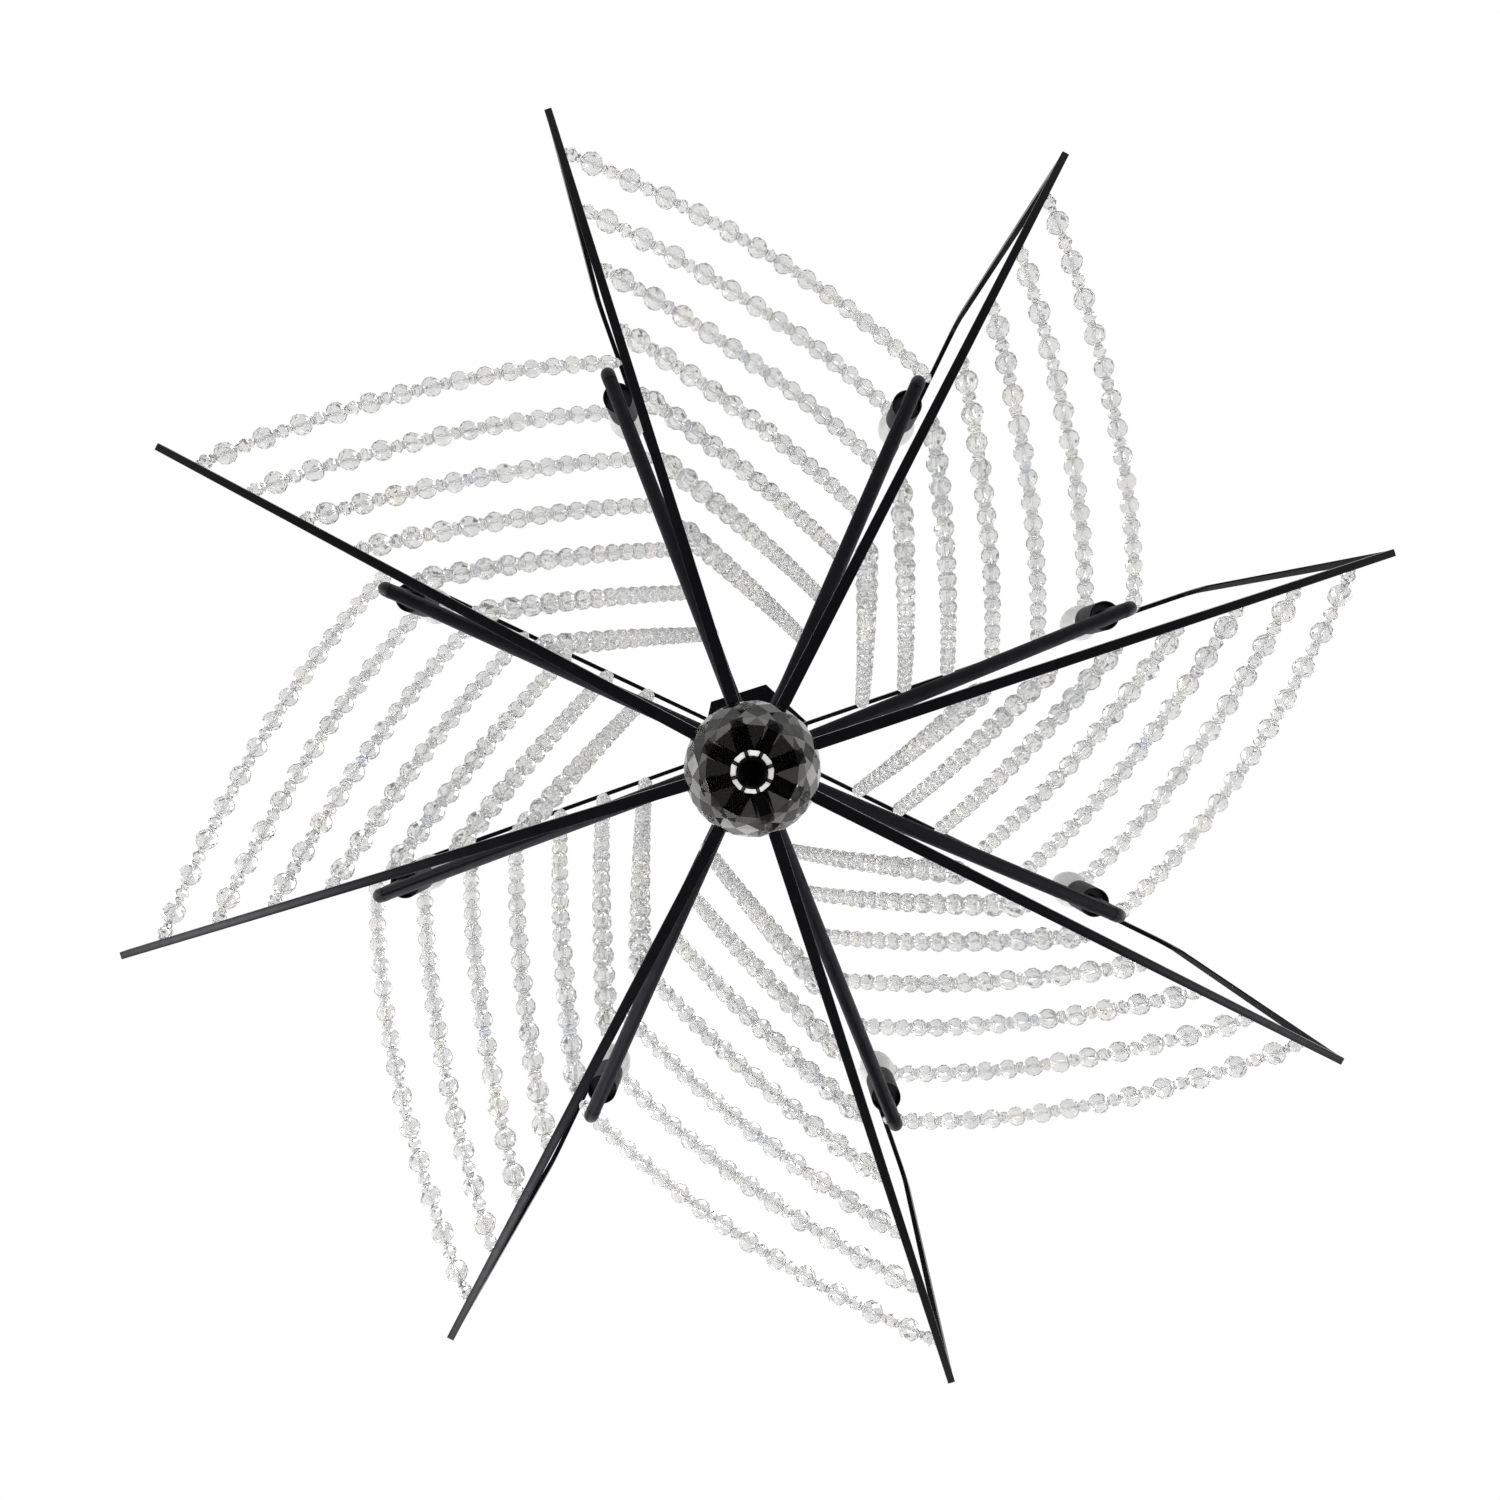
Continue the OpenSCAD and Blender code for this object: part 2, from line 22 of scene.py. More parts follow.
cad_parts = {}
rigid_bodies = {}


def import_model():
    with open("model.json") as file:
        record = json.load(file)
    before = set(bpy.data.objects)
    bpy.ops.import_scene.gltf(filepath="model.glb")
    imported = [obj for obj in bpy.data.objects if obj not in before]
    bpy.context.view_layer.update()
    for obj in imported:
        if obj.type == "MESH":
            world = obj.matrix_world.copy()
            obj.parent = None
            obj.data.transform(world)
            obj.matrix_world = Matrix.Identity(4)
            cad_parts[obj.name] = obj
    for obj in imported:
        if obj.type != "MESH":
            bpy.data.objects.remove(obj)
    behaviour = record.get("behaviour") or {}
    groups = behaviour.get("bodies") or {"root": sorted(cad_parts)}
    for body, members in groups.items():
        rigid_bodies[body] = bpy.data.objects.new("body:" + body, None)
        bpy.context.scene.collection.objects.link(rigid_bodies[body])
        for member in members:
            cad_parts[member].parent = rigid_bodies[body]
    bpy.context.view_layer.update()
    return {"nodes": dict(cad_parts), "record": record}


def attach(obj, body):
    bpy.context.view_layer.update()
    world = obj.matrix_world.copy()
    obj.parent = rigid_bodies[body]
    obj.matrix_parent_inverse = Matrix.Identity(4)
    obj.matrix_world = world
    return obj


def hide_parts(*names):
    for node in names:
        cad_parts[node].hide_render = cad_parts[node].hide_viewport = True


log = logging.getLogger("chandelier")

BLADES = 8
SECTOR = math.tau / BLADES
FRAME_BODY = "chandelier_frame"
NOISE_LOW, NOISE_HIGH = 0.3, 0.7
FACET_FLATNESS = math.radians(0.5)

Pair = tuple[float, float]
Triple = tuple[float, float, float]
Colour = Triple
Stops = tuple[tuple[float, Colour], ...]


class BeadKind(IntEnum):
    """The three beads on a strand."""

    LARGE = 0
    SMALL = 1
    END = 2

    @property
    def label(self) -> str:
        """Name of the node tree's input that takes this bead."""
        return f"{self.name.title()} bead"


class Shader:
    """A node tree with one Principled surface, and short ways to feed it."""

    def __init__(self, name: str) -> None:
        """Make an empty material with its surface and output.

        Args:
            name: Name of the material.
        """
        self.material = bpy.data.materials.new(name)
        self.material.use_nodes = True
        self.tree = self.material.node_tree
        self.tree.nodes.clear()
        output = self.tree.nodes.new("ShaderNodeOutputMaterial")
        self.surface = self.tree.nodes.new("ShaderNodeBsdfPrincipled")
        self.link(self.surface.outputs["BSDF"], output.inputs["Surface"])
        self.place = self.tree.nodes.new("ShaderNodeTexCoord").outputs["Object"]

    def link(self, start: NodeSocket, end: NodeSocket) -> None:
        """Join two sockets."""
        self.tree.links.new(start, end)

    def drive(self, name: str, value: NodeSocket) -> None:
        """Feed one of the surface's inputs."""
        self.link(value, self.surface.inputs[name])

    def set(self, **values: float | tuple[float, ...]) -> None:
        """Set constant values on the surface.

        Args:
            values: Socket names, with underscores for spaces, and their values.
        """
        for name, value in values.items():
            socket = self.surface.inputs[name.replace("_", " ")]
            if isinstance(value, tuple):
                value = (*value, 1.0)[:4]
            socket.default_value = value

    def noise(self, scale: float, detail: float, stretch: Triple = (1, 1, 1)) -> NodeSocket:
        """A noise pattern in the piece's own space.

        Args:
            scale: Features per metre.
            detail: Octaves of finer noise.
            stretch: Factors along X, Y and Z.

        Returns:
            The noise's factor.
        """
        mapping = self.tree.nodes.new("ShaderNodeMapping")
        mapping.inputs["Scale"].default_value = stretch
        self.link(self.place, mapping.inputs["Vector"])
        node = self.tree.nodes.new("ShaderNodeTexNoise")
        node.inputs["Scale"].default_value = scale
        node.inputs["Detail"].default_value = detail
        self.link(mapping.outputs["Vector"], node.inputs["Vector"])
        return node.outputs["Fac"]

    def attribute(self, name: str) -> NodeSocket:
        """A number stored on the mesh under that name."""
        node = self.tree.nodes.new("ShaderNodeAttribute")
        node.attribute_name = name
        return node.outputs["Fac"]

    def ramp(self, factor: NodeSocket, stops: Stops) -> NodeSocket:
        """Colours along a factor.

        Args:
            factor: The driving value.
            stops: Positions and their colours.

        Returns:
            The ramp's colour.
        """
        node = self.tree.nodes.new("ShaderNodeValToRGB")
        marks = node.color_ramp.elements
        while len(marks) < len(stops):
            marks.new(0.5)
        for mark, (position, colour) in zip(marks, stops):
            mark.position = position
            mark.color = (*colour, 1.0)
        self.link(factor, node.inputs["Fac"])
        return node.outputs["Color"]

    def clouded(self, factor: NodeSocket, dark: Colour, light: Colour) -> None:
        """Drive the base colour between two colours by a noise.

        Args:
            factor: The noise.
            dark: Colour at its low end.
            light: Colour at its high end.
        """
        self.drive("Base Color", self.ramp(factor, ((NOISE_LOW, dark), (NOISE_HIGH, light))))

    def roughness(self, factor: NodeSocket, limits: Pair) -> None:
        """Drive the roughness between two values by a noise.

        Args:
            factor: The noise.
            limits: Values at its low and high end.
        """
        node = self.tree.nodes.new("ShaderNodeMapRange")
        node.inputs["From Min"].default_value = NOISE_LOW
        node.inputs["From Max"].default_value = NOISE_HIGH
        node.inputs["To Min"].default_value = limits[0]
        node.inputs["To Max"].default_value = limits[1]
        self.link(factor, node.inputs["Value"])
        self.drive("Roughness", node.outputs["Result"])

    def math(self, operation: str, *terms: NodeSocket | float) -> NodeSocket:
        """Work out a number.

        Args:
            operation: Name of the operation.
            terms: Up to three numbers or sockets.

        Returns:
            The result.
        """
        node = self.tree.nodes.new("ShaderNodeMath")
        node.operation = operation
        for socket, term in zip(node.inputs, terms):
            if isinstance(term, NodeSocket):
                self.link(term, socket)
            else:
                socket.default_value = term
        return node.outputs[0]

    def bump(self, height: NodeSocket, depth: float, strength: float) -> None:
        """Raise the surface by a height pattern.

        Args:
            height: The pattern.
            depth: Its depth in metres.
            strength: How much of it shows.
        """
        node = self.tree.nodes.new("ShaderNodeBump")
        node.inputs["Distance"].default_value = depth
        node.inputs["Strength"].default_value = strength
        self.link(height, node.inputs["Height"])
        self.drive("Normal", node.outputs["Normal"])


@dataclass(frozen=True)
class SatinBlack:
    """Satin black powder coat on the frame and lamps."""

    name: str = "satin_black_coat"
    dark: Colour = (0.0008, 0.0008, 0.0009)
    light: Colour = (0.0025, 0.0025, 0.0029)
    roughness: Pair = (0.27, 0.35)
    sheen: float = 0.084
    sheen_tint: Colour = (0.86, 0.86, 1.0)
    cloud_scale: float = 60
    gloss_scale: float = 140
    grain_scale: float = 2600
    grain_depth: float = 0.00006
    grain_strength: float = 0.25

    def material(self) -> Material:
        """Build the coat: faint clouding, uneven gloss and a fine grain."""
        shader = Shader(self.name)
        shader.clouded(shader.noise(self.cloud_scale, 4), self.dark, self.light)
        shader.roughness(shader.noise(self.gloss_scale, 2), self.roughness)
        shader.bump(shader.noise(self.grain_scale, 2), self.grain_depth, self.grain_strength)
        shader.set(Specular_IOR_Level=self.sheen, IOR=1.5, Specular_Tint=self.sheen_tint)
        return shader.material


@dataclass(frozen=True)
class PlatedSteel:
    """Zinc-plated steel of the ceiling hardware."""

    name: str = "plated_steel"
    dark: Colour = (0.25, 0.25, 0.255)
    light: Colour = (0.35, 0.35, 0.36)
    roughness: Pair = (0.34, 0.5)
    line_scale: float = 160
    line_stretch: Triple = (1, 14, 14)
    line_depth: float = 0.00003
    line_strength: float = 0.3

    def material(self) -> Material:
        """Build bare metal with rolling lines along X."""
        shader = Shader(self.name)
        lines = shader.noise(self.line_scale, 5, self.line_stretch)
        shader.clouded(lines, self.dark, self.light)
        shader.roughness(lines, self.roughness)
        shader.bump(lines, self.line_depth, self.line_strength)
        shader.set(Metallic=1.0)
        return shader.material


@dataclass(frozen=True)
class NickelThread:
    """Nickel-plated screw base of a bulb."""

    name: str = "nickel_thread"
    dark: Colour = (0.5, 0.48, 0.43)
    light: Colour = (0.68, 0.66, 0.61)
    roughness: Pair = (0.2, 0.38)
    mark_scale: float = 420

    def material(self) -> Material:
        """Build pale warm metal with handling marks."""
        shader = Shader(self.name)
        marks = shader.noise(self.mark_scale, 5)
        shader.clouded(marks, self.dark, self.light)
        shader.roughness(marks, self.roughness)
        shader.set(Metallic=1.0)
        return shader.material


@dataclass(frozen=True)
class CutCrystal:
    """Clear cut crystal: each bead has its own faint cast; the warm and cool casts at the top of
    the range are painted dispersion glints.
    """

    name: str = "bead_crystal"
    # Random tone per bead; the last two stops, warm and cool, stand in for coloured glints.
    casts: Stops = (
        (0.0, (0.82, 0.825, 0.82)), (0.8, (0.89, 0.89, 0.885)),
        (0.94, (0.9, 0.885, 0.85)), (1.0, (0.84, 0.855, 0.89)))
    ior: float = 1.47
    clear: float = 0.76
    polish: Pair = (0.02, 0.1)
    polish_scale: float = 900
    gloss_tint: Colour = (0.45, 0.45, 0.45)

    def material(self) -> Material:
        """Build polished glass whose cast follows the glint stored on the mesh."""
        shader = Shader(self.name)
        shader.drive("Base Color", shader.ramp(shader.attribute("glint"), self.casts))
        shader.roughness(shader.noise(self.polish_scale, 3), self.polish)
        shader.set(Transmission_Weight=self.clear, IOR=self.ior, Specular_Tint=self.gloss_tint)
        return shader.material


@dataclass(frozen=True)
class SmokyCrystal:
    """Smoky crystal whose facets differ: cast, gleam and mirror glint are stored on the mesh;
    gleam and mirror glint paint reflections onto chosen facets.
    """

    name: str = "smoky_crystal"
    casts: Stops = (
        (0.0, (0.05, 0.045, 0.04)), (0.6, (0.17, 0.16, 0.148)),
        (0.9, (0.31, 0.295, 0.272)), (1.0, (0.94, 0.94, 0.93)))
    # Reflection tint follows the gleam: near black where the gleam is masked away, which paints
    # the wedges' shade, and warm where it is strong.
    tints: Stops = ((0.0, (0.03, 0.027, 0.025)), (1.0, (1.0, 0.84, 0.68)))
    polish: Pair = (0.0, 0.05)
    polish_scale: float = 500
    ior: float = 1.55
    gleam_ior: float = 2.3
    gleam_roughness: float = 0.02
    # Painted shade: half width, random widening and outer end of the dark wedges along the blade
    # lines, and half width of the dark gaps they cut in the mirror ring.
    shade_wedge_half: float = 0.0034
    shade_wedge_spread: float = 0.0024
    shade_wedge_end: float = 0.0305
    shade_gap_half: float = 0.0011

    def from_blade(self, shader: Shader) -> tuple[NodeSocket, NodeSocket]:
        """Distances from the line of the nearest blade and from the axis.

        Args:
            shader: The shader to build in.

        Returns:
            The distance across the blade and the distance from the axis.
        """
        split = shader.tree.nodes.new("ShaderNodeSeparateXYZ")
        shader.link(shader.place, split.inputs[0])
        x, y = split.outputs["X"], split.outputs["Y"]
        work = shader.math
        turns = work("DIVIDE", work("ARCTAN2", y, x), SECTOR)
        part = work("SUBTRACT", work("FRACT", work("ADD", turns, 0.5)), 0.5)
        out = work("SQRT", work("ADD", work("POWER", x, 2.0), work("POWER", y, 2.0)))
        aside = work("MULTIPLY", out, work("SINE", work("MULTIPLY", part, SECTOR)))
        return work("ABSOLUTE", aside), out

    def material(self) -> Material:
        """Build dark polished glass with some facets that gleam and a few mirror facets that
        shine as painted glints.

        Dark wedges along the blade lines are painted shade for the blades seen through the ball:
        a mask takes away the gleam and the surface reflection there.
        """
        shader = Shader(self.name)
        shader.drive("Base Color", shader.ramp(shader.attribute("glint"), self.casts))
        shader.roughness(shader.noise(self.polish_scale, 3), self.polish)
        across, out = self.from_blade(shader)
        # Painted shade: the mask below is 0 inside a wedge along a blade line and 1 outside it.
        half = shader.math("MULTIPLY_ADD", shader.attribute("glint"),
                           self.shade_wedge_spread, self.shade_wedge_half)
        clear = shader.math("MAXIMUM", shader.math("GREATER_THAN", across, half),
                            shader.math("GREATER_THAN", out, self.shade_wedge_end))
        gleam = shader.math("MULTIPLY", shader.attribute("gleam"), clear)
        shader.drive("Coat Weight", gleam)
        shader.drive("Specular Tint", shader.ramp(gleam, self.tints))
        # Painted glints: mirror facets, with painted dark gaps along the blade lines.
        silver = shader.math("MULTIPLY", shader.attribute("silver"),
                             shader.math("GREATER_THAN", across, self.shade_gap_half))
        shader.drive("Metallic", silver)
        shader.set(Transmission_Weight=1.0, IOR=self.ior, Coat_IOR=self.gleam_ior,
                   Coat_Roughness=self.gleam_roughness)
        return shader.material


@dataclass(frozen=True)
class FrostedGlass:
    """Thin frosted glass of the candle bulbs."""

    name: str = "frosted_glass"
    dark: Colour = (0.88, 0.88, 0.87)
    light: Colour = (0.9, 0.9, 0.89)
    roughness: Pair = (0.22, 0.28)
    etch_scale: float = 700
    clear: float = 0.45
    ior: float = 1.3

    def material(self) -> Material:
        """Build pale translucent glass with a fine etched grain."""
        shader = Shader(self.name)
        etch = shader.noise(self.etch_scale, 4)
        shader.clouded(etch, self.dark, self.light)
        shader.roughness(etch, self.roughness)
        shader.set(Transmission_Weight=self.clear, IOR=self.ior)
        return shader.material


@dataclass(frozen=True)
class MouldedPlastic:
    """Moulded plastic of the lampholders and the wire insulation."""

    name: str
    dark: Colour
    light: Colour
    roughness: Pair = (0.4, 0.55)
    flow_scale: float = 90
    grain_scale: float = 1800
    grain_depth: float = 0.00005
    grain_strength: float = 0.2

    def material(self) -> Material:
        """Build plastic with flow clouding and a fine grain."""
        shader = Shader(self.name)
        flow = shader.noise(self.flow_scale, 4)
        shader.clouded(flow, self.dark, self.light)
        shader.roughness(flow, self.roughness)
        shader.bump(shader.noise(self.grain_scale, 2), self.grain_depth, self.grain_strength)
        return shader.material


class Finish(Protocol):
    """Anything that builds a material."""

    def material(self) -> Material:
        """Build the material."""


def made_of(finish: Finish) -> Material:
    """A field that holds a finish's material, built together with the set."""
    return field(default_factory=finish.material)


@dataclass
class FinishSet:
    """All finishes, each made once."""

    coat: Material = made_of(SatinBlack())
    # Painted shade: a darker, almost unreflecting copy of the coat, for the finial to read as
    # deep black shade.
    shaded_coat: Material = made_of(SatinBlack(
        "black_enamel", dark=(0.0002, 0.0002, 0.0002), light=(0.0006, 0.0006, 0.0006),
        sheen=0.005))
    tube: Material = made_of(SatinBlack(
        "satin_black_tube", roughness=(0.5, 0.6), sheen=0.18))
    steel: Material = made_of(PlatedSteel())
    nickel: Material = made_of(NickelThread())
    bead: Material = made_of(CutCrystal())
    ball: Material = made_of(SmokyCrystal())
    frosted: Material = made_of(FrostedGlass())
    phenolic: Material = made_of(MouldedPlastic(
        "black_phenolic", (0.008, 0.008, 0.008), (0.016, 0.015, 0.014)))
    insulation: Material = made_of(MouldedPlastic(
        "wire_insulation", (0.68, 0.67, 0.63), (0.78, 0.77, 0.73)))


def new_object(name: str, data: ID) -> Object:
    """Make an object of a mesh, a lamp or a camera and link it to the scene.

    Args:
        name: Name of the object.
        data: What it holds.

    Returns:
        The object, at the origin.
    """
    made = bpy.data.objects.new(name, data)
    bpy.context.scene.collection.objects.link(made)
    return made


def mesh_object(name: str, shape: BMesh) -> Object:
    """Turn a finished bmesh into an object at the origin.

    Args:
        name: Name of the object and its mesh.
        shape: The mesh, which is freed.

    Returns:
        The linked object.
    """
    bmesh.ops.recalc_face_normals(shape, faces=shape.faces)
    mesh = bpy.data.meshes.new(name)
    shape.to_mesh(mesh)
    shape.free()
    return new_object(name, mesh)


def smooth_by_angle(mesh: Mesh, degrees: float) -> None:
    """Shade a mesh smooth, with edges sharper than an angle kept crisp.

    Args:
        mesh: The mesh to shade.
        degrees: Largest angle that is still smooth.
    """
    mesh.polygons.foreach_set("use_smooth", [True] * len(mesh.polygons))
    mesh.set_sharp_from_angle(angle=math.radians(degrees))


def lathe(profile: list[Pair], around: int, wobble: float = 0.0, pitch: float = 1.0) -> BMesh:
    """Turn a profile about Z, with an optional helical ridge.

    Args:
        profile: Radius and height pairs from bottom to top; radius 0 closes a pole.
        around: Points in each ring.
        wobble: Height of the helical ridge.
        pitch: Rise of the ridge in one turn.

    Returns:
        The closed mesh.
    """
    shape = bmesh.new()
    rings: list[list[BMVert]] = []
    for radius, height in profile:
        if radius == 0:
            rings.append([shape.verts.new((0, 0, height))])
            continue
        ring = []
        for i in range(around):
            angle = math.tau * i / around
            r = radius + wobble * (math.cos(math.tau * height / pitch - angle) - 1) / 2
            ring.append(shape.verts.new((r * math.cos(angle), r * math.sin(angle), height)))
        rings.append(ring)
    for low, high in zip(rings, rings[1:]):
        for i in range(around):
            j = (i + 1) % around
            corners = [low[i % len(low)], low[j % len(low)],
                       high[j % len(high)], high[i % len(high)]]
            shape.faces.new(list(dict.fromkeys(corners)))
    for ring in (rings[0][::-1], rings[-1]):
        if len(ring) > 1:
            shape.faces.new(ring)
    return shape


def cut_stone(radius: float, sides: int, rows: int, pole: float) -> BMesh:
    """A round stone cut in flat diamonds, with long facets towards its poles.

    Args:
        radius: Radius that all corners lie on.
        sides: Facets round the stone.
        rows: Rows of corners from the equator to where the long facets begin.
        pole: Latitude in radians of the edge of its two flat poles.

    Returns:
        The closed mesh.
    """
    step = math.atanh(math.sin(math.pi / sides))
    half = [(math.asin(math.tanh(j * step)), j % 2) for j in range(rows + 1)]
    half.append((pole, rows % 2))
    rings = [(-lat, turned) for lat, turned in reversed(half[1:])] + half
    circles = [(radius * math.cos(lat), radius * math.sin(lat), turned) for lat, turned in rings]
    shape = bmesh.new()
    corners = [[shape.verts.new((r * math.cos(math.tau * (i + turned / 2) / sides),
                                 r * math.sin(math.tau * (i + turned / 2) / sides), z))
                for i in range(sides)] for r, z, turned in circles]
    for row in range(len(circles) - 1):
        low, high = corners[row], corners[row + 1]
        turned, level = circles[row][2], circles[row][2] == circles[row + 1][2]
        for i in range(sides):
            a, b = low[i], low[(i + 1) % sides]
            if level:
                shape.faces.new([a, b, high[(i + 1) % sides], high[i]])
                continue
            c = high[(i + (1 if turned else 0)) % sides]
            d = high[(i - (0 if turned else 1)) % sides]
            shape.faces.new([a, b, c])
            shape.faces.new([a, c, d])
    shape.faces.new(corners[0][::-1])
    shape.faces.new(corners[-1])
    bmesh.ops.dissolve_limit(shape, angle_limit=FACET_FLATNESS,
                             verts=shape.verts, edges=shape.edges)
    return shape


def bridge(shape: BMesh, first: list[BMVert], second: list[BMVert]) -> None:
    """Join two rings of corners by faces.

    Args:
        shape: The mesh that holds them.
        first: One ring.
        second: The other, with as many corners.
    """
    for i in range(len(first)):
        j = (i + 1) % len(first)
        shape.faces.new((first[i], first[j], second[j], second[i]))


def pierce(shape: BMesh, low: list[Pair], high: list[Pair]) -> None:
    """Turn a stone's two flat poles into the ends of a hole through it.

    Args:
        shape: The stone, with one face at each pole.
        low: Radius and height of the rings from the lower pole's edge into the hole.
        high: The same for the upper pole.
    """
    def level(face: BMFace) -> float:
        """Height of a face's middle."""
        return face.calc_center_median().z

    ends = []
    caps = min(shape.faces, key=level), max(shape.faces, key=level)
    for cap, rings in zip(caps, (low, high)):
        edge = sorted(cap.verts, key=lambda v: math.atan2(v.co.y, v.co.x))
        around = [v.co.xy.normalized() for v in edge]
        shape.faces.remove(cap)
        for radius, height in rings:
            following = [shape.verts.new((*(way * radius), height)) for way in around]
            bridge(shape, edge, following)
            edge = following
        ends.append(edge)
    bridge(shape, *ends)


@dataclass
class CadDressing:
    """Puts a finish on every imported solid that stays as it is, and smooths round ones."""

    finishes: FinishSet
    nodes: dict[str, Object]
    record: dict
    bar_edge: float = 0.0005
    plate_edge: float = 0.0007
    edge_steps: int = 2
    edge_angle: float = math.radians(40)
    weld: float = 0.000002
    flatness: float = math.radians(0.2)
    smooth_degrees: float = 32

    def coat_all(self) -> None:
        """Give each node the finish of its record slot; the finial gets a darker, almost
        unreflecting copy of the coat as painted shade, and the arms and sleeves a rougher coat.
        """
        by_slot = {
            "black_metal": self.finishes.coat,
            "steel": self.finishes.steel,
            "clear_crystal": self.finishes.bead,
            "smoky_crystal": self.finishes.ball,
            "bulb_glass": self.finishes.frosted,
            "holder_plastic": self.finishes.phenolic,
            "insulation": self.finishes.insulation,
        }
        for subpart in self.record["subparts"]:
            node = self.nodes[subpart["node"]]
            node.data.materials.clear()
            node.data.materials.append(by_slot[subpart["material_slot"]])
        # Painted shade: the finial's darker, almost unreflecting coat.
        self.nodes["finial"].data.materials[0] = self.finishes.shaded_coat
        for name in (*(f"lamp_arm_{k + 1}" for k in range(BLADES)), "candle_sleeves"):
            self.nodes[name].data.materials[0] = self.finishes.tube
        log.info("dressed %d packed solids", len(self.record["subparts"]))

    def body_of(self, name: str) -> str:
        """The body that a node belongs to."""
        bodies = self.record["behaviour"]["bodies"]
        return next(body for body, members in bodies.items() if name in members)

    def refine_all(self) -> None:
        """Finish the metal that shows: flat stock gets eased edges and round stock is smooth."""
        each = range(1, BLADES + 1)
        eased = {f"lower_bar_{k}": self.bar_edge for k in each}
        eased.update({name: self.plate_edge for name in (
            "crossbar", "canopy", "roof_hub", "arm_hub", "hub_cover", "lower_hub")})
        smooth = [f"{kind}_{k}" for kind in ("upper_bar", "lamp_arm") for k in each]
        smooth += ["canopy_loop", "collar_ring", "chain_link", "fixture_loop", "column",
                   "candle_sleeves", "ball_cap", "ball_rod", "finial"]
        eased.update(dict.fromkeys(smooth, 0.0))
        for name, edge in eased.items():
            self.refine(name, edge)
        log.info("refined %d pieces of metal", len(eased))

    def refine(self, name: str, edge: float) -> None:
        """Stand a merged, smooth copy with eased edges in for a node.

        Args:
            name: The node.
            edge: Width of the eased edges, or 0 to leave them sharp.
        """
        node = self.nodes[name]
        shape = bmesh.new()
        shape.from_mesh(node.data)
        bmesh.ops.remove_doubles(shape, verts=shape.verts, dist=self.weld)
        bmesh.ops.dissolve_limit(shape, angle_limit=self.flatness,
                                 verts=shape.verts, edges=shape.edges)
        piece = mesh_object(f"{name}_finished", shape)
        piece.data.materials.append(node.data.materials[0])
        if edge > 0:
            ease = piece.modifiers.new("eased edges", "BEVEL")
            ease.width = edge
            ease.segments = self.edge_steps
            ease.limit_method = "ANGLE"
            ease.angle_limit = self.edge_angle
            settle(piece)
        smooth_by_angle(piece.data, self.smooth_degrees)
        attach(piece, self.body_of(name))
        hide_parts(name)


def settle(piece: Object) -> None:
    """Bake a piece's modifiers into its mesh."""
    graph = bpy.context.evaluated_depsgraph_get()
    baked = bpy.data.meshes.new_from_object(piece.evaluated_get(graph))
    piece.modifiers.clear()
    old, piece.data = piece.data, baked
    bpy.data.meshes.remove(old)


@dataclass
class BarLines:
    """Centre lines of the bars that carry the strands."""

    tip_r: float = 0.525
    tip_rise: float = 0.175
    shoulder_r: float = 0.515
    upright_h: float = 0.345
    roof_rise: float = 0.188
    lean: float = math.radians(1.7)
    lower_depth: float = 0.012
    upper_depth: float = 0.010
    roof_z: float = -0.0934

    @property
    def hub_z(self) -> float:
        """Height where the lower bars' centre lines meet the axis."""
        return self.roof_z - self.roof_rise - self.upright_h - self.tip_rise

    def lower(self, r: float) -> float:
        """Height of a lower bar's centre line at a radius."""
        return self.hub_z + r * self.tip_rise / self.tip_r

    def roof(self, r: float) -> float:
        """Height of a roof bar's centre line at a radius."""
        return self.roof_z - r * self.roof_rise / self.shoulder_r


@dataclass
class Catenary:
    """A hanging line between two points."""

    start: Vector
    end: Vector
    constant: float
    across: Vector = field(init=False)
    first: float = field(init=False)
    length: float = field(init=False)

    def __post_init__(self) -> None:
        """Find the stretch of the curve that joins the two points."""
        way = self.end - self.start
        span = way.xy.length
        self.across = way.xy / span
        half = span / 2 / self.constant
        middle = math.asinh(way.z / (2 * self.constant * math.sinh(half)))
        self.first = middle - half
        self.length = self.constant * (math.sinh(middle + half) - math.sinh(self.first))

    def at(self, distance: float) -> tuple[Vector, Vector]:
        """Place and direction at a distance along the line.

        Args:
            distance: Distance from the start.

        Returns:
            The point and the unit direction there.
        """
        u = math.asinh(math.sinh(self.first) + distance / self.constant)
        out = self.constant * (u - self.first)
        rise = self.constant * (math.cosh(u) - math.cosh(self.first))
        point = self.start + Vector((*(self.across * out), rise))
        return point, Vector((*(self.across / math.cosh(u)), math.tanh(u)))


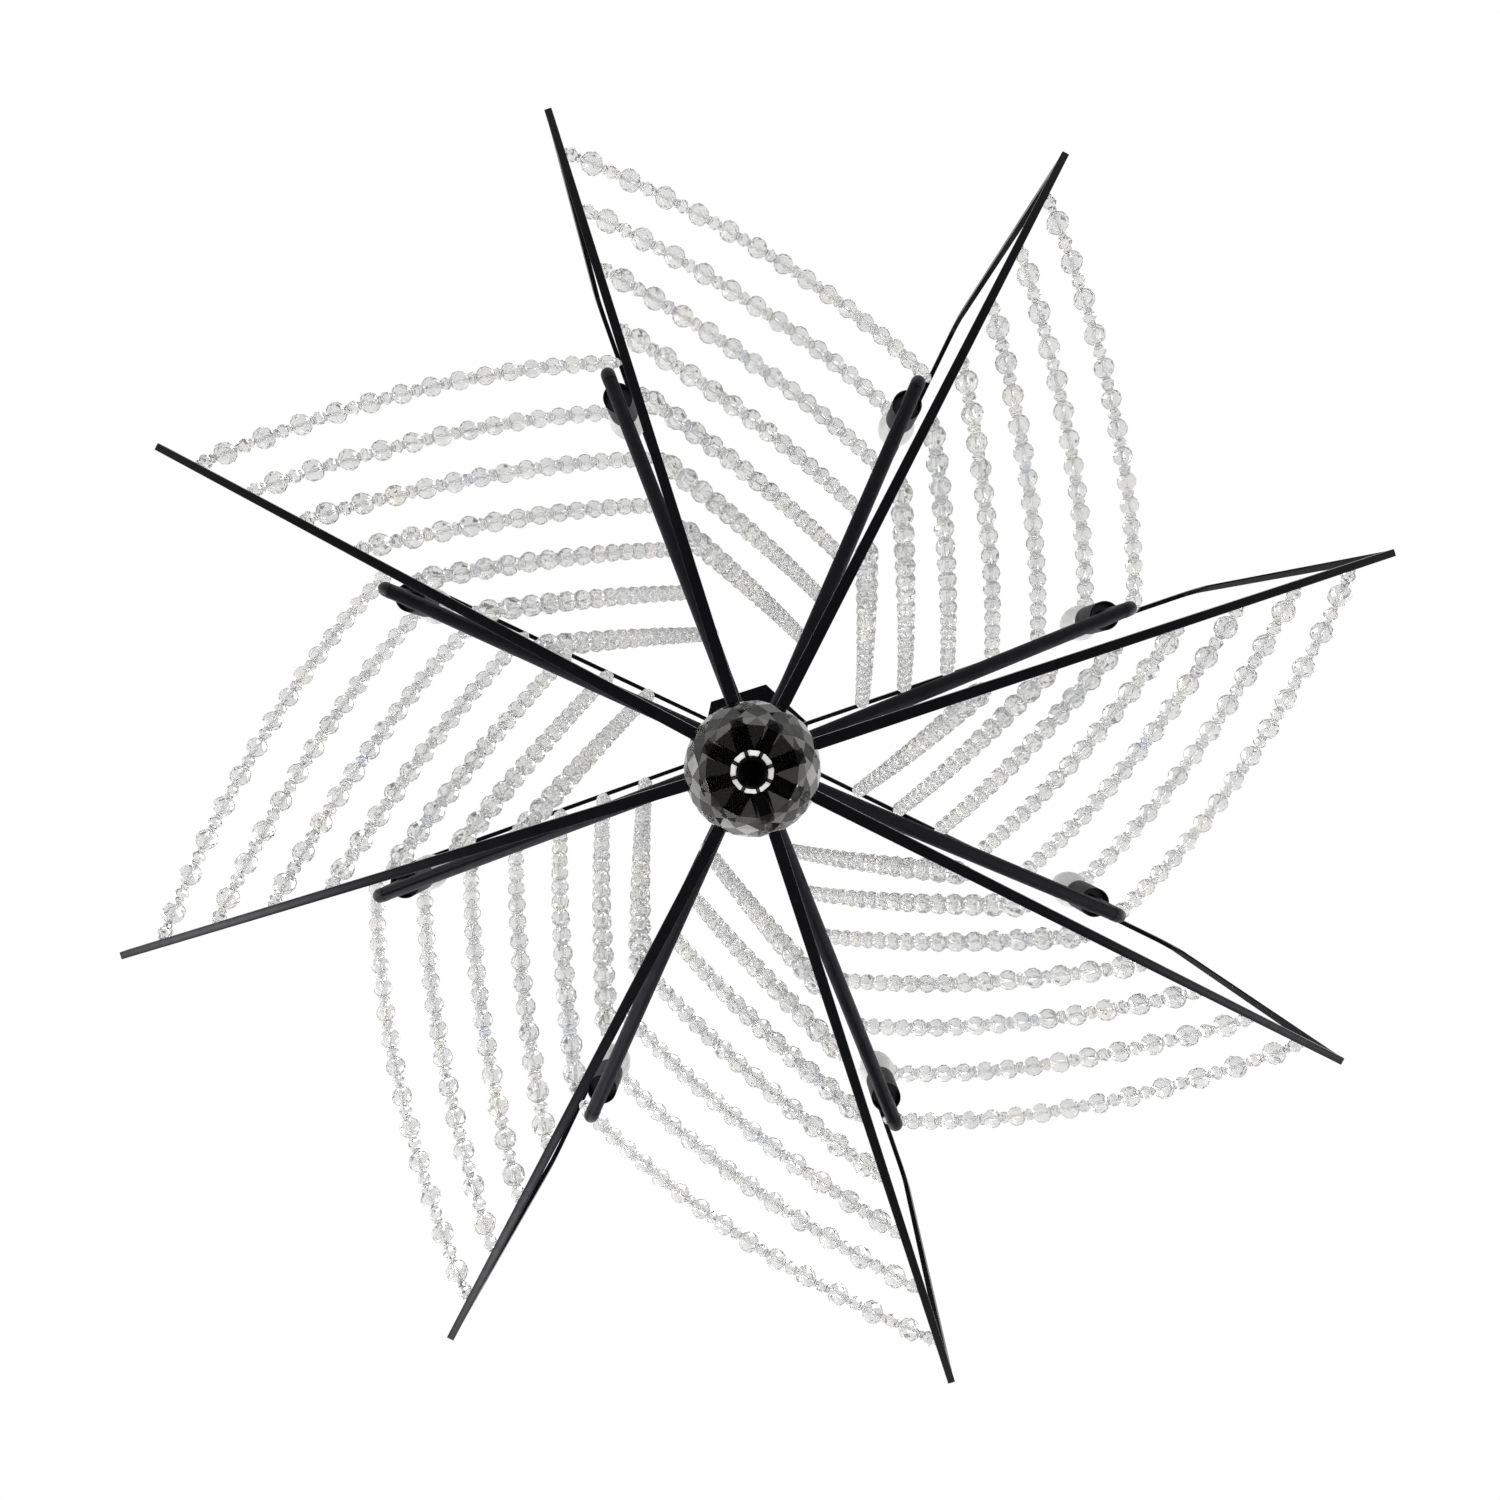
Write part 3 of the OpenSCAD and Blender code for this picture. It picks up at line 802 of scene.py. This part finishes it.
@dataclass
class BeadStrands:
    """The strands between neighbouring blades, strung bead by bead."""

    finishes: FinishSet
    bars: BarLines
    count: int = 7
    low_first: float = 0.170
    low_step: float = 0.054
    roof_first: float = 0.140
    roof_step: float = 0.0515
    drape: float = 0.400
    large_d: float = 0.018
    small_d: float = 0.0115
    end_d: float = 0.006
    spacer_d: float = 0.0076
    hole_d: float = 0.0024
    pitch: float = 0.033
    seat: float = 0.0001
    small_skin: float = 0.0001
    small_gap: float = 0.00015
    large_cut: tuple[int, int, float] = (8, 2, math.radians(70))
    end_cut: tuple[int, int, float] = (6, 1, math.radians(62))
    small_sides: int = 7
    core_shares: tuple[Pair, ...] = ((1.0, 0.14), (0.8, 0.38))
    spacer_shares: tuple[Pair, ...] = ((0.8, 0.53), (1.0, 0.76), (0.65, 1.0))
    seed: int = 11

    def line(self, i: int) -> Catenary:
        """The hanging line of one strand of the first sector.

        Args:
            i: Number of the strand, from the inside.

        Returns:
            The line from its lower end bead to its upper one.
        """
        bars = self.bars
        low_r = self.low_first + i * self.low_step
        lower_cos = math.cos(math.atan2(bars.tip_rise, bars.tip_r))
        low = Vector((low_r, 0, bars.lower(low_r)
                      + (bars.lower_depth + self.end_d) / 2 / lower_cos + self.seat))
        roof_r = self.roof_first + i * self.roof_step
        roof_cos = math.cos(math.atan2(bars.roof_rise, bars.shoulder_r))
        angle = SECTOR - bars.lean
        high = Vector((roof_r * math.cos(angle), roof_r * math.sin(angle), bars.roof(roof_r)
                       - (bars.upper_depth + self.end_d) / 2 / roof_cos - self.seat))
        return Catenary(low, high, self.drape)

    def stops(self) -> list[tuple[Vector, Vector, BeadKind, float]]:
        """Every bead of the first sector.

        Returns:
            Place, direction, kind and lengthwise stretch of each bead.
        """
        lead = (self.end_d + self.small_d) / 2 + self.seat
        usual = (self.pitch - self.large_d) / 2
        found: list[tuple[Vector, Vector, BeadKind, float]] = []
        for i in range(self.count):
            line = self.line(i)
            run = line.length - 2 * lead
            beads = round(run / self.pitch)
            pitch = run / beads
            stretch = (pitch - self.large_d) / 2 / usual
            found += [(*line.at(s), BeadKind.END, 1.0) for s in (0.0, line.length)]
            found += [(*line.at(lead + (j + 0.5) * pitch), BeadKind.LARGE, 1.0)
                      for j in range(beads)]
            found += [(*line.at(lead + j * pitch), BeadKind.SMALL, stretch)
                      for j in range(beads + 1)]
        return found

    def templates(self) -> dict[BeadKind, Object]:
        """One mesh of each kind of bead, standing on Z.

        Returns:
            The beads by kind. The small one carries its two spacer collars.
        """
        large_r, spacer_r = self.large_d / 2, self.spacer_d / 2
        large = cut_stone(large_r, *self.large_cut)
        hole = (self.hole_d / 2, large_r * math.sin(self.large_cut[-1]))
        pierce(large, [(hole[0], -hole[1])], [hole])
        small_r = self.small_d / 2 - self.small_skin
        reach = (self.pitch - self.large_d) / 2 - self.small_gap
        half = [(share * small_r, along * reach) for share, along in self.core_shares]
        half += [(share * spacer_r, along * reach) for share, along in self.spacer_shares]
        profile = [(r, -z) for r, z in reversed(half)] + half
        return {
            BeadKind.LARGE: mesh_object("large_bead", large),
            BeadKind.SMALL: mesh_object("small_bead", lathe(profile, self.small_sides)),
            BeadKind.END: mesh_object("end_bead", cut_stone(self.end_d / 2, *self.end_cut)),
        }

    def stringing(self) -> NodeTree:
        """A node tree that sets a bead on each point and turns it about the strand.

        Returns:
            The tree, with the beads, the seed and the crystal as named inputs.
        """
        tree = bpy.data.node_groups.new("bead_stringing", "GeometryNodeTree")
        sockets = {"Stops": "Geometry", **{kind.label: "Object" for kind in BeadKind},
                   "Turn seed": "Int", "Crystal": "Material"}
        for name, holds in sockets.items():
            tree.interface.new_socket(name, in_out="INPUT", socket_type=f"NodeSocket{holds}")
        tree.interface.new_socket("Strands", in_out="OUTPUT", socket_type="NodeSocketGeometry")

        def add(kind: str, **settings: object) -> Node:
            """Add a node with its settings."""
            node = tree.nodes.new(kind)
            for name, value in settings.items():
                setattr(node, name, value)
            return node

        def stored(name: str, data_type: str) -> NodeSocket:
            """A value stored on the points."""
            node = add("GeometryNodeInputNamedAttribute", data_type=data_type)
            node.inputs["Name"].default_value = name
            return node.outputs["Attribute"]

        join = tree.links.new
        given = add("NodeGroupInput").outputs
        heading = add("FunctionNodeEulerToRotation")
        join(stored("heading", "FLOAT_VECTOR"), heading.inputs[0])
        chance = add("FunctionNodeRandomValue", data_type="FLOAT")
        chance.inputs[3].default_value = math.tau
        join(given["Turn seed"], chance.inputs["Seed"])
        about = add("FunctionNodeAxisAngleToRotation")
        about.inputs["Axis"].default_value = (0, 0, 1)
        join(chance.outputs[1], about.inputs["Angle"])
        turned = add("FunctionNodeRotateRotation", rotation_space="LOCAL")
        join(heading.outputs[0], turned.inputs["Rotation"])
        join(about.outputs[0], turned.inputs["Rotate By"])
        gathered = add("GeometryNodeJoinGeometry")
        for kind in BeadKind:
            picked = add("FunctionNodeCompare", data_type="INT", operation="EQUAL")
            join(stored("kind", "INT"), picked.inputs[2])
            picked.inputs[3].default_value = int(kind)
            bead = add("GeometryNodeObjectInfo")
            join(given[kind.label], bead.inputs["Object"])
            strung = add("GeometryNodeInstanceOnPoints")
            join(given["Stops"], strung.inputs["Points"])
            join(picked.outputs[0], strung.inputs["Selection"])
            join(bead.outputs["Geometry"], strung.inputs["Instance"])
            join(turned.outputs[0], strung.inputs["Rotation"])
            join(stored("stretch", "FLOAT_VECTOR"), strung.inputs["Scale"])
            join(strung.outputs[0], gathered.inputs[0])
        glint = add("FunctionNodeRandomValue", data_type="FLOAT")
        glint.inputs["Seed"].default_value = self.seed
        keep = add("GeometryNodeStoreNamedAttribute", data_type="FLOAT", domain="INSTANCE")
        keep.inputs["Name"].default_value = "glint"
        join(gathered.outputs[0], keep.inputs["Geometry"])
        join(glint.outputs[1], keep.inputs["Value"])
        real = add("GeometryNodeRealizeInstances")
        join(keep.outputs[0], real.inputs[0])
        paint = add("GeometryNodeSetMaterial")
        join(real.outputs[0], paint.inputs["Geometry"])
        join(given["Crystal"], paint.inputs["Material"])
        join(paint.outputs[0], add("NodeGroupOutput").inputs["Strands"])
        return tree

    def stop_mesh(self, sector: int) -> Object:
        """Bare points for one sector's beads, with what the tree reads stored on them.

        Args:
            sector: Number of the sector, from 0.

        Returns:
            The points.
        """
        turn = Matrix.Rotation(sector * SECTOR, 3, "Z")
        stops = self.stops()
        mesh = bpy.data.meshes.new(f"bead_stops_{sector + 1}")
        mesh.from_pydata([turn @ place for place, *_ in stops], [], [])
        stored = {"heading": "FLOAT_VECTOR", "kind": "INT", "stretch": "FLOAT_VECTOR"}
        for name, data_type in stored.items():
            mesh.attributes.new(name, data_type, "POINT")
        heading, kind, stretch = (mesh.attributes[name].data for name in stored)
        for i, (_, way, bead, longer) in enumerate(stops):
            heading[i].vector = (turn @ way).to_track_quat("Z", "Y").to_euler()
            kind[i].value = int(bead)
            stretch[i].vector = (1, 1, longer)
        return new_object(mesh.name, mesh)

    def build(self) -> None:
        """String every sector and hang it on the frame."""
        beads = self.templates()
        tree = self.stringing()
        inputs = {socket.name: socket.identifier for socket in tree.interface.items_tree
                  if socket.in_out == "INPUT"}
        for sector in range(BLADES):
            stops = self.stop_mesh(sector)
            modifier = stops.modifiers.new("stringing", "NODES")
            modifier.node_group = tree
            for kind, bead in beads.items():
                modifier[inputs[kind.label]] = bead
            modifier[inputs["Turn seed"]] = self.seed + sector
            modifier[inputs["Crystal"]] = self.finishes.bead
            settle(stops)
            stops.name = stops.data.name = f"crystal_strands_{sector + 1}"
            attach(stops, FRAME_BODY)
            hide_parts(f"bead_strands_{sector + 1}")
            log.info("%s: %d faces", stops.name, len(stops.data.polygons))
        for bead in beads.values():
            bpy.data.objects.remove(bead)


@dataclass
class CrystalBall:
    """The cut ball under the lower hub, drilled for its rod."""

    finishes: FinishSet
    centre_z: float = -0.8554
    diameter: float = 0.080
    sides: int = 16
    rows: int = 5
    ring_angle: float = math.radians(17.5)
    flat_angle: float = math.radians(13)
    bore: float = 0.0066
    skin: float = 0.00001
    collar: Triple = (0.0095, 0.0081, 0.0022)
    collar_share: float = 0.3
    collar_drop: float = 0.96
    # The collar's outer facets get a mirror finish that stands in for bright glints of the
    # glass, and its inside is painted dark.
    mirror_glint_share: float = 0.2
    mirror_glint_casts: Pair = (0.94, 0.99)
    lightest_cast: float = 0.9
    # Painted reflection: how strongly facets gleam, by distance from the axis.
    gleams: tuple[Pair, ...] = ((0.52, 0.2), (0.8, 0.38), (math.inf, 0.06))
    gleam_spread: Pair = (0.35, 2.3)
    seed: int = 5

    def facet_values(self, mesh: Mesh) -> None:
        """Store each facet's cast, gleam and mirror glint; only collar facets get the mirror
        that paints glints.

        Args:
            mesh: The ball's mesh, about the origin.
        """
        chance = random.Random(self.seed)
        rows = [self.facet(face.center, chance) for face in mesh.polygons]
        for name, values in zip(("glint", "gleam", "silver"), zip(*rows)):
            mesh.attributes.new(name, "FLOAT", "FACE").data.foreach_set("value", values)

    def facet(self, middle: Vector, chance: random.Random) -> Triple:
        """The look of one facet.

        Args:
            middle: The facet's middle, from the ball's centre.
            chance: Where the draws come from.

        Returns:
            Its cast, gleam and mirror glint.
        """
        out = middle.xy.length / self.diameter * 2
        if middle.z < -self.collar_drop * self.diameter / 2 and out < self.collar_share:
            # Painted shade: facets inside the collar get the darkest cast and no gleam.
            if out <= self.mirror_glint_share:
                return 0.0, 0.0, 0.0
            # Painted glints: the collar's outer facets are pale mirrors.
            low, high = self.mirror_glint_casts
            return low + (high - low) * chance.random(), 0.0, 1.0
        # A random cast; the gleam, a painted reflection, is set by distance from the axis and a
        # random draw.
        cast = self.lightest_cast * chance.random()
        strength = next(value for limit, value in self.gleams if out < limit)
        low, high = self.gleam_spread
        return cast, strength * (low + (high - low) * chance.random() ** 2), 0.0

    def build(self) -> None:
        """Cut the ball, give each facet its own look and hang it on its rod."""
        shape = cut_stone(self.diameter / 2 - self.skin, self.sides, self.rows,
                          math.pi / 2 - self.ring_angle)
        outer, inner, drop = self.collar
        flat = self.diameter / 2 * math.cos(self.flat_angle)
        foot, bore_r = -flat - drop, self.bore / 2
        pierce(shape, [(outer, foot), (inner, foot), (inner, -flat), (bore_r, -flat)],
               [(bore_r, flat)])
        ball = mesh_object("cut_crystal_ball", shape)
        self.facet_values(ball.data)
        ball.data.transform(Matrix.Translation((0, 0, self.centre_z)))
        ball.data.materials.append(self.finishes.ball)
        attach(ball, FRAME_BODY)
        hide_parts("crystal_ball")
        log.info("%s: %d faces", ball.name, len(ball.data.polygons))


@dataclass
class CandleBulbs:
    """Frosted candle bulbs with their screw bases."""

    finishes: FinishSet
    bars: BarLines
    post_r: float = 0.344
    post_turn: float = math.radians(3.4)
    sleeve_top: float = 0.361
    glass_d: float = 0.035
    glass_h: float = 0.076
    base_d: float = 0.014
    base_h: float = 0.025
    lip: float = 0.0012
    wall: float = 0.0008
    skin: float = 0.00005
    widest: float = 0.38
    taper: float = 0.8
    least_r: float = 0.0004
    glass_steps: int = 28
    glass_sides: int = 32
    glass_smooth: float = 50
    thread: float = 0.0007
    thread_pitch: float = 0.0025
    thread_start: float = 0.003
    contact: tuple[Pair, ...] = ((0.0, 0.00005), (0.0022, 0.0002), (0.0024, 0.001),
                                 (0.0046, 0.0014))
    base_top: float = -0.00024
    base_steps: int = 44
    base_sides: int = 28
    base_smooth: float = 40

    def glass_radius(self, h: float) -> float:
        """Outside radius of the glass at a height above the sleeve."""
        neck, widest = self.base_d / 2, self.widest * self.glass_h
        if h < widest:
            return neck + (self.glass_d / 2 - neck) * math.sin(math.pi / 2 * h / widest)
        up = (h - widest) / (self.glass_h - widest)
        return self.glass_d / 2 * max(0.0, math.cos(math.pi / 2 * up)) ** self.taper

    def envelope(self, name: str) -> Object:
        """The hollow glass, standing on the sleeve's top.

        Args:
            name: Name of the piece.

        Returns:
            The piece, at the origin.
        """
        steps, crown = self.glass_steps, self.glass_h - 2 * self.wall
        heights = [self.glass_h * (1 - math.cos(math.pi * i / steps)) / 2 for i in range(steps)]
        outer = [(self.glass_radius(h) - self.skin, h) for h in heights]
        inner = [(max(r - self.wall, self.least_r), h + (0 if i else self.wall))
                 for i, (r, h) in enumerate(outer) if h < crown]
        shape = lathe([*outer, (0.0, self.glass_h - self.skin)], self.glass_sides)
        hollow = lathe([*inner, (0.0, crown)], self.glass_sides)
        bmesh.ops.recalc_face_normals(hollow, faces=hollow.faces)
        bmesh.ops.reverse_faces(hollow, faces=hollow.faces)
        bmesh.ops.recalc_face_normals(shape, faces=shape.faces)
        mesh = bpy.data.meshes.new(name)
        hollow.to_mesh(mesh)
        shape.from_mesh(mesh)
        hollow.free()
        shape.to_mesh(mesh)
        shape.free()
        mesh.materials.append(self.finishes.frosted)
        smooth_by_angle(mesh, self.glass_smooth)
        return new_object(name, mesh)

    def screw_base(self, name: str) -> Object:
        """The threaded metal base with its contact.

        Args:
            name: Name of the piece.

        Returns:
            The piece, at the origin.
        """
        bottom = -self.base_h - self.lip
        r, steps = self.base_d / 2 - self.skin, self.base_steps
        rise = self.base_h - self.thread_start
        profile = [(contact_r, bottom + h) for contact_r, h in self.contact]
        profile += [(r, bottom + self.thread_start + rise * i / steps) for i in range(steps + 1)]
        profile.append((0.0, self.base_top))
        made = mesh_object(name, lathe(profile, self.base_sides, self.thread, self.thread_pitch))
        made.data.materials.append(self.finishes.nickel)
        smooth_by_angle(made.data, self.base_smooth)
        return made

    def build(self) -> None:
        """Set a bulb in every lampholder."""
        for k in range(BLADES):
            angle = k * SECTOR - self.post_turn
            place = Matrix.Translation((
                self.post_r * math.cos(angle), self.post_r * math.sin(angle),
                self.bars.hub_z + self.sleeve_top))
            glass = self.envelope(f"bulb_envelope_{k + 1}")
            base = self.screw_base(f"bulb_base_{k + 1}")
            for piece in (glass, base):
                piece.data.transform(place)
                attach(piece, f"lamp_bulb_{k + 1}")
            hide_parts(f"bulb_{k + 1}")
        log.info("set %d bulbs", BLADES)


@dataclass(frozen=True)
class Softbox:
    """A square lamp beside the chandelier: direction in the picture, place, size and power."""

    kind: str
    direction: int
    distance: float
    rise: float
    size: float
    power: float

    @property
    def name(self) -> str:
        """Name of the lamp."""
        return f"{self.kind}_softbox_{self.direction}"


@dataclass
class Studio:
    """Camera, floor, world and lamps."""

    bars: BarLines
    camera_at: Pair = (0.00126, 0.0290)
    camera_drop: float = 0.6895
    roll: float = math.radians(17.586)
    tilt: Pair = (-0.0285, 0.0041)
    lens: float = 26.25
    sensor: float = 36.0
    clip: Pair = (0.02, 60.0)
    floor_z: float = -2.4
    floor_r: float = 40.0
    floor_sides: int = 96
    floor_colour: Colour = (0.84, 0.84, 0.84)
    floor_shade: float = 0.97
    floor_scale: float = 0.6
    floor_roughness: float = 0.8
    ambient: float = 0.82
    spread: float = math.radians(60)
    middle_z: float = -0.5
    softboxes: tuple[Softbox, ...] = (
        Softbox("low", 163, 2.5, -0.9, 1.0, 4.5),
        Softbox("low", 117, 2.5, -0.9, 1.0, 4.0),
        Softbox("low", 27, 2.5, -0.9, 1.0, 1.8),
        Softbox("high", 8, 2.2, 1.0, 1.1, 1.7),
        Softbox("high", 104, 2.2, 1.0, 1.1, 1.7),
        Softbox("high", 172, 2.2, 1.0, 1.1, 1.7))

    def across(self) -> tuple[Vector, Vector]:
        """Directions that the picture shows as right and down."""
        right = Vector((math.cos(self.roll), math.sin(self.roll), 0))
        return right, Vector((-math.sin(self.roll), math.cos(self.roll), 0))

    def camera(self) -> None:
        """Place the camera under the chandelier, looking up."""
        lens = bpy.data.cameras.new("photo_camera")
        lens.lens = self.lens
        lens.sensor_width = self.sensor
        lens.clip_start, lens.clip_end = self.clip
        view = new_object("photo_camera", lens)
        right, down = self.across()
        up = -down
        level = Matrix((right, up, right.cross(up))).transposed().to_4x4()
        place = right * self.camera_at[0] + up * self.camera_at[1]
        place.z = self.bars.hub_z - self.camera_drop
        view.matrix_world = (Matrix.Translation(place) @ level
                             @ Euler((*self.tilt, 0)).to_matrix().to_4x4())
        bpy.context.scene.camera = view

    def world(self) -> None:
        """A white surround that the camera, metal and glass see, and a softer light."""
        world = bpy.data.worlds.new("white_surround")
        bpy.context.scene.world = world
        world.use_nodes = True
        tree = world.node_tree
        tree.nodes.clear()
        seen = tree.nodes.new("ShaderNodeLightPath").outputs
        most = seen["Is Camera Ray"]
        for ray in ("Is Glossy Ray", "Is Transmission Ray"):
            either = tree.nodes.new("ShaderNodeMath")
            either.operation = "MAXIMUM"
            tree.links.new(most, either.inputs[0])
            tree.links.new(seen[ray], either.inputs[1])
            most = either.outputs[0]
        level = tree.nodes.new("ShaderNodeMapRange")
        level.inputs["To Min"].default_value = self.ambient
        level.inputs["To Max"].default_value = 1.0
        tree.links.new(most, level.inputs["Value"])
        light = tree.nodes.new("ShaderNodeBackground")
        light.inputs["Color"].default_value = (1, 1, 1, 1)
        tree.links.new(level.outputs["Result"], light.inputs["Strength"])
        output = tree.nodes.new("ShaderNodeOutputWorld")
        tree.links.new(light.outputs[0], output.inputs["Surface"])

    def floor(self) -> None:
        """A wide pale floor under the chandelier."""
        shape = bmesh.new()
        bmesh.ops.create_circle(shape, cap_ends=True, segments=self.floor_sides,
                                radius=self.floor_r,
                                matrix=Matrix.Translation((0, 0, self.floor_z)))
        floor = mesh_object("studio_floor", shape)
        shader = Shader("studio_floor")
        low = tuple(self.floor_shade * part for part in self.floor_colour)
        shader.clouded(shader.noise(self.floor_scale, 2), low, self.floor_colour)
        shader.set(Roughness=self.floor_roughness)
        floor.data.materials.append(shader.material)

    def lamp(self, box: Softbox) -> None:
        """Set up a soft lamp that faces the middle of the chandelier.

        Args:
            box: The lamp. Its direction runs clockwise from the picture's right.
        """
        light = bpy.data.lights.new(box.name, "AREA")
        light.size = box.size
        light.energy = box.power
        light.spread = self.spread
        made = new_object(box.name, light)
        angle = math.radians(box.direction)
        right, down = self.across()
        place = box.distance * (math.cos(angle) * right + math.sin(angle) * down)
        place.z = self.middle_z + box.rise
        made.location = place
        aim = Vector((0, 0, self.middle_z)) - place
        made.rotation_euler = aim.to_track_quat("-Z", "Y").to_euler()

    def build(self) -> None:
        """Set up the whole studio."""
        self.camera()
        self.world()
        self.floor()
        for box in self.softboxes:
            self.lamp(box)
        bpy.context.scene.view_settings.view_transform = "Standard"


def main() -> None:
    """Build the chandelier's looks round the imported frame."""
    logging.basicConfig(level=logging.INFO, format="%(name)s: %(message)s")
    for thing in list(bpy.data.objects):
        bpy.data.objects.remove(thing)
    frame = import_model()
    finishes = FinishSet()
    bars = BarLines()
    Studio(bars).build()
    dressing = CadDressing(finishes, frame["nodes"], frame["record"])
    dressing.coat_all()
    dressing.refine_all()
    BeadStrands(finishes, bars).build()
    CrystalBall(finishes).build()
    CandleBulbs(finishes, bars).build()


if __name__ == "__main__":
    main()
